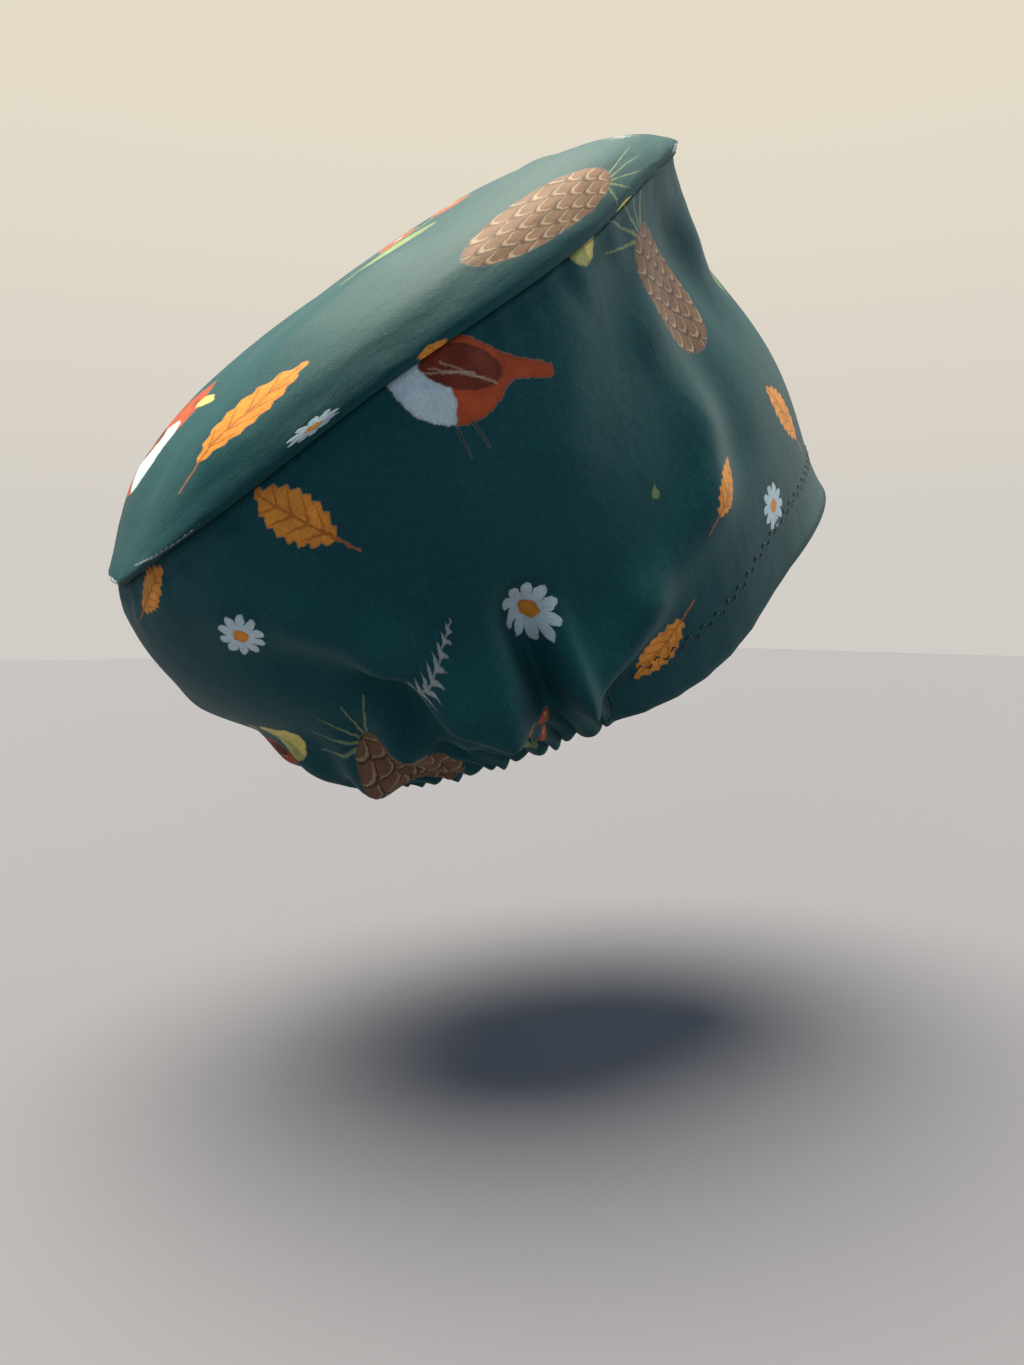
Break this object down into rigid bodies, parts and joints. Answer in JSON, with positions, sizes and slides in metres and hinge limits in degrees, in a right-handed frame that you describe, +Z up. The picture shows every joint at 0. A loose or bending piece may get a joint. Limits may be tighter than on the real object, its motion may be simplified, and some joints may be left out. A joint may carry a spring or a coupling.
{
  "type": "cloth scrub cap",
  "caption": "Soft bouffant cap: an oval top panel on a tall side wall, hemmed in front and gathered on elastic behind the ears.",
  "frame": {"origin": "centre of the head opening, in the plane of the hem edge, where the cap sits on a head", "axes": "+Z up; the wearer faces -Y and the wearer's left is +X, so the cap is alike on both sides of X = 0 apart from its folds"},
  "size_m": [0.1933, 0.264, 0.23],
  "materials": {
    "printed_cotton": "matt printed plain-weave cotton",
    "elastic_band": "woven white elastic"
  },
  "bodies": {
    "root": {"top_panel": "printed_cotton", "side_panel": "printed_cotton", "front_hem": "printed_cotton", "elastic_casing": "printed_cotton", "elastic": "elastic_band"}
  },
  "joints": []
}
